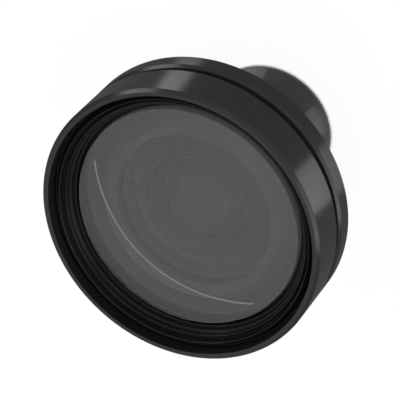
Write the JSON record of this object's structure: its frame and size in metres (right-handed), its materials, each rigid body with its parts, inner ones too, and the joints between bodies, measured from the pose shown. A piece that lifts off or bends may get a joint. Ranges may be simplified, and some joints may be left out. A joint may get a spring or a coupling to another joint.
{
  "type": "s-mount lens",
  "caption": "Fixed-focus wide-angle board lens: large domed front glass in a stepped black ring, flange, and a narrow screw-in barrel.",
  "frame": {"origin": "centre of the rear end face of the barrel, on which the lens stands", "axes": "+Z along the optical axis, towards the front glass and the scene; the lens is turned about it, so +X and +Y are free"},
  "size_m": [0.0254, 0.0254, 0.0203],
  "materials": {
    "body_black": "black anodised, satin, fine turned",
    "ring_black": "black anodised, satin, fine turned",
    "inner_black": "black anodised, matt",
    "foil_black": "matt black foil",
    "seal_rubber": "smooth black rubber",
    "front_glass": "polished, coated",
    "inner_glass": "polished, coated, green-gold residual colour",
    "flint_glass": "polished, faint straw tint",
    "filter_glass": "polished, infrared-cut coating with a red residual colour"
  },
  "bodies": {
    "root": {"main_body": "body_black", "front_ring": "ring_black", "front_element": "front_glass", "front_o_ring": "seal_rubber", "front_baffle": "foil_black", "second_element": "inner_glass", "second_retainer": "inner_black", "third_element": "inner_glass", "front_spacer": "inner_black", "aperture_stop": "inner_black", "stop_spacer": "inner_black", "fourth_element": "inner_glass", "middle_spacer": "inner_black", "doublet_front": "flint_glass", "doublet_rear": "inner_glass", "rear_baffle": "foil_black", "rear_spacer": "inner_black", "rear_element": "inner_glass", "rear_retainer": "inner_black", "ir_filter": "filter_glass"}
  },
  "joints": []
}
